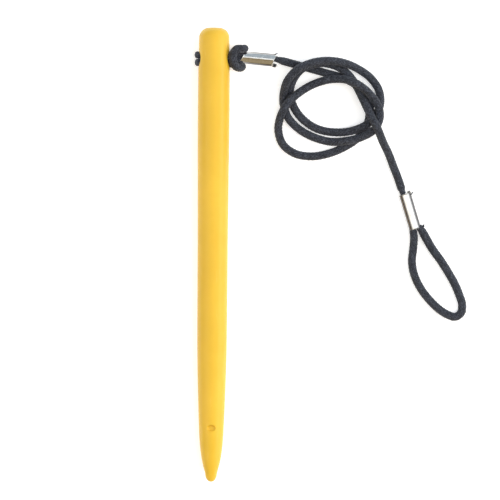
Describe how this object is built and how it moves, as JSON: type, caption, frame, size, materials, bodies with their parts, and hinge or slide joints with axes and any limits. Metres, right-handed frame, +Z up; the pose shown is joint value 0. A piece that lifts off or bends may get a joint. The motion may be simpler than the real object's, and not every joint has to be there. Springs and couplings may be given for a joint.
{
  "type": "tethered data collector stylus",
  "caption": "Plastic stylus for the touch screen of a survey data collector, with an elastic cord tether hitched through its head and a crimped end loop.",
  "frame": {"origin": "on the table, at the bottom middle of the stylus barrel's bounding box", "axes": "+Y along the stylus from the writing tip to the head, +Z up from the table, +X towards the tether"},
  "size_m": [0.0695, 0.1157, 0.0099],
  "materials": {
    "yellow_plastic": "moulded, semi-matte",
    "black_cord": "braided sheath over a rubber core",
    "plated_metal": "bright plated, crimped",
    "rubber_core": "cut rubber strands"
  },
  "bodies": {
    "stylus": {"stylus_barrel": "yellow_plastic", "hitch_cord": "black_cord", "hitch_sleeve": "plated_metal", "hitch_cut_end": "rubber_core"},
    "tether": {"tether_cord": "black_cord"},
    "end_loop": {"loop_sleeve": "plated_metal", "loop_cord": "black_cord", "loop_cut_end": "rubber_core"}
  },
  "joints": [
    {"name": "tether_swing", "type": "hinge", "parent": "stylus", "child": "tether", "pos_m": [0.01525, 0.05015, 0.0028], "axis": [0, 0, 1], "range_deg": [-18, 18]},
    {"name": "loop_swing", "type": "hinge", "parent": "tether", "child": "end_loop", "pos_m": [0.0484, 0.01625, 0.00115], "axis": [0, 0, 1], "range_deg": [-20, 20]}
  ]
}
